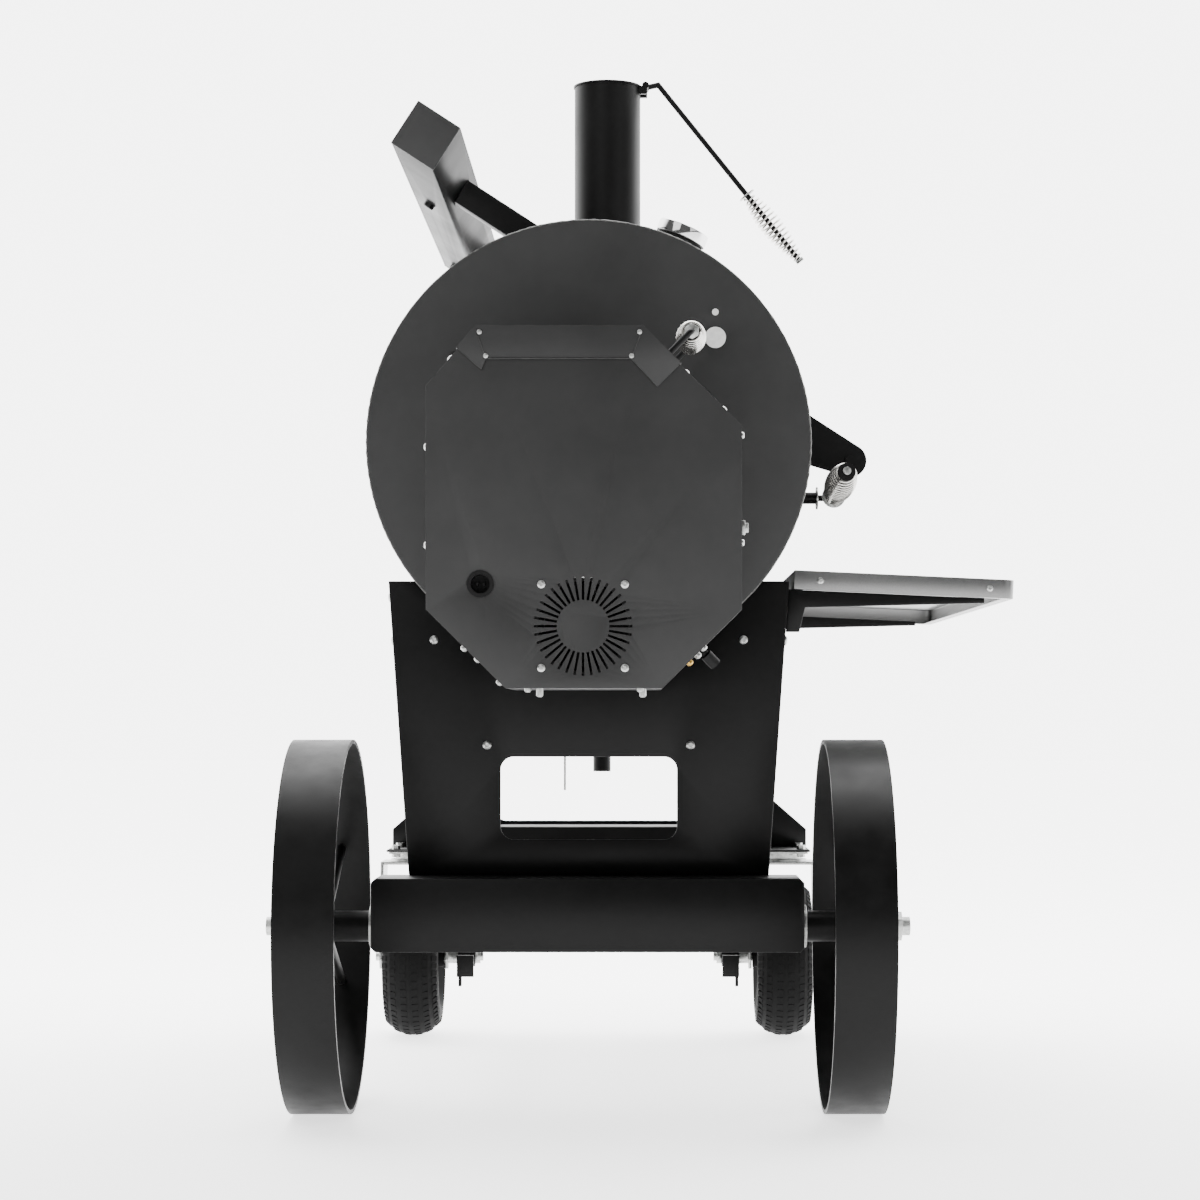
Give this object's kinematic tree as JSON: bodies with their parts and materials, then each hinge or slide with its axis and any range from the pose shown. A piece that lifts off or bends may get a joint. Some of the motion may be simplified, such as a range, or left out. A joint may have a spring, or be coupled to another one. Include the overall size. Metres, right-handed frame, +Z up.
{
  "type": "pellet smoker",
  "caption": "Barrel smoker on a cart: counterweighted door, hopper housing, chimney with damper, front shelf, band wheels and casters.",
  "frame": {"origin": "on the floor, in the middle of the bounding box", "axes": "+X towards the front shelf, +Y from the hopper end to the chimney end along the barrel, +Z up"},
  "size_m": [1.0236, 1.4726, 1.6422],
  "materials": {
    "black_steel": "satin high-temperature paint",
    "zinc": "zinc plated",
    "stainless": "brushed stainless",
    "chrome": "polished",
    "plastic": "moulded, fine grain",
    "tyre": "moulded rubber",
    "silicone": "matte"
  },
  "bodies": {
    "cart": {"barrel": "black_steel", "hopper_end_plate": "black_steel", "chimney_end_plate": "black_steel", "door_stops": "black_steel", "door_hinge_blocks": "black_steel", "housing_shell": "black_steel", "hopper_bin": "zinc", "housing_screws": "zinc", "controller_panel": "plastic", "power_inlet": "plastic", "antenna": "plastic", "side_catch": "zinc", "probe_plug": "silicone", "auger_tube": "zinc", "auger_motor": "zinc", "fan_frame": "plastic", "air_duct": "zinc", "fire_pot": "black_steel", "igniter_rod": "stainless", "heat_diffuser": "black_steel", "drip_tray": "black_steel", "cooking_grate": "stainless", "upper_rack": "stainless", "rack_brackets": "black_steel", "drain_spout": "black_steel", "bucket_hook": "zinc", "chimney": "black_steel", "near_leg_panel": "black_steel", "far_leg_panel": "black_steel", "axle_beam": "black_steel", "axle": "zinc", "side_rails": "black_steel", "caster_deck": "black_steel", "caster_plates": "zinc", "shelf_tray": "stainless", "shelf_brackets": "black_steel", "frame_bolts": "zinc"},
    "auger": {"auger_shaft": "zinc", "auger_flight": "zinc"},
    "fan": {"fan_rotor": "plastic"},
    "knob": {"control_knob": "plastic"},
    "power_button": {"power_button": "plastic"},
    "door": {"door_skin": "black_steel", "door_hinge_leaves": "black_steel", "counterweight": "black_steel", "door_handle": "black_steel", "door_grip": "stainless", "thermometer": "chrome"},
    "lid": {"hopper_lid": "black_steel", "lid_handle": "black_steel"},
    "damper": {"damper_flap": "black_steel", "damper_grip": "stainless"},
    "left_wheel": {"left_wheel": "black_steel"},
    "right_wheel": {"right_wheel": "black_steel"},
    "left_fork": {"left_fork": "zinc"},
    "right_fork": {"right_fork": "zinc"},
    "left_caster_wheel": {"left_caster_wheel": "tyre"},
    "right_caster_wheel": {"right_caster_wheel": "tyre"},
    "left_brake": {"left_brake": "plastic"},
    "right_brake": {"right_brake": "plastic"}
  },
  "joints": [
    {"name": "door_hinge", "type": "hinge", "parent": "cart", "child": "door", "pos_m": [-0.23284, 0.1223, 1.1919], "axis": [0, -1, 0], "range_deg": [0, 90]},
    {"name": "lid_hinge", "type": "hinge", "parent": "cart", "child": "lid", "pos_m": [-0.24084, -0.5587, 0.99884], "axis": [0, -1, 0], "range_deg": [0, 100]},
    {"name": "damper_hinge", "type": "hinge", "parent": "cart", "child": "damper", "pos_m": [0.00631, 0.6513, 1.633], "axis": [0, 1, 0], "range_deg": [0, 35]},
    {"name": "fan_spin", "type": "hinge", "parent": "cart", "child": "fan", "pos_m": [-0.07484, -0.7237, 0.653], "axis": [0, 1, 0], "continuous": true},
    {"name": "auger_spin", "type": "hinge", "parent": "cart", "child": "auger", "pos_m": [-0.10484, -0.3937, 0.7555], "axis": [0, 1, 0], "continuous": true},
    {"name": "knob_turn", "type": "hinge", "parent": "cart", "child": "knob", "pos_m": [0.07806, -0.5997, 0.95085], "axis": [0.7014, 0, 0.7128], "range_deg": [-150, 150]},
    {"name": "power_press", "type": "slide", "parent": "cart", "child": "power_button", "axis": [-0.7014, 0, -0.7128], "range_m": [0, 0.0014], "stiffness_N_per_m": 700},
    {"name": "left_wheel_spin", "type": "hinge", "parent": "cart", "child": "left_wheel", "pos_m": [-0.43384, -0.4267, 0.254], "axis": [1, 0, 0], "continuous": true},
    {"name": "right_wheel_spin", "type": "hinge", "parent": "cart", "child": "right_wheel", "pos_m": [0.28616, -0.4267, 0.254], "axis": [1, 0, 0], "continuous": true},
    {"name": "left_swivel", "type": "hinge", "parent": "cart", "child": "left_fork", "pos_m": [-0.38584, 0.5813, 0.29], "axis": [0, 0, 1], "continuous": true},
    {"name": "left_caster_spin", "type": "hinge", "parent": "left_fork", "child": "left_caster_wheel", "pos_m": [-0.38584, 0.5263, 0.1325], "axis": [1, 0, 0], "continuous": true},
    {"name": "left_brake_turn", "type": "hinge", "parent": "left_fork", "child": "left_brake", "pos_m": [-0.29684, 0.5263, 0.1325], "axis": [1, 0, 0], "range_deg": [0, 60]},
    {"name": "right_swivel", "type": "hinge", "parent": "cart", "child": "right_fork", "pos_m": [0.23816, 0.5813, 0.29], "axis": [0, 0, 1], "continuous": true},
    {"name": "right_caster_spin", "type": "hinge", "parent": "right_fork", "child": "right_caster_wheel", "pos_m": [0.23816, 0.5263, 0.1325], "axis": [1, 0, 0], "continuous": true},
    {"name": "right_brake_turn", "type": "hinge", "parent": "right_fork", "child": "right_brake", "pos_m": [0.14916, 0.5263, 0.1325], "axis": [1, 0, 0], "range_deg": [0, 60]}
  ]
}
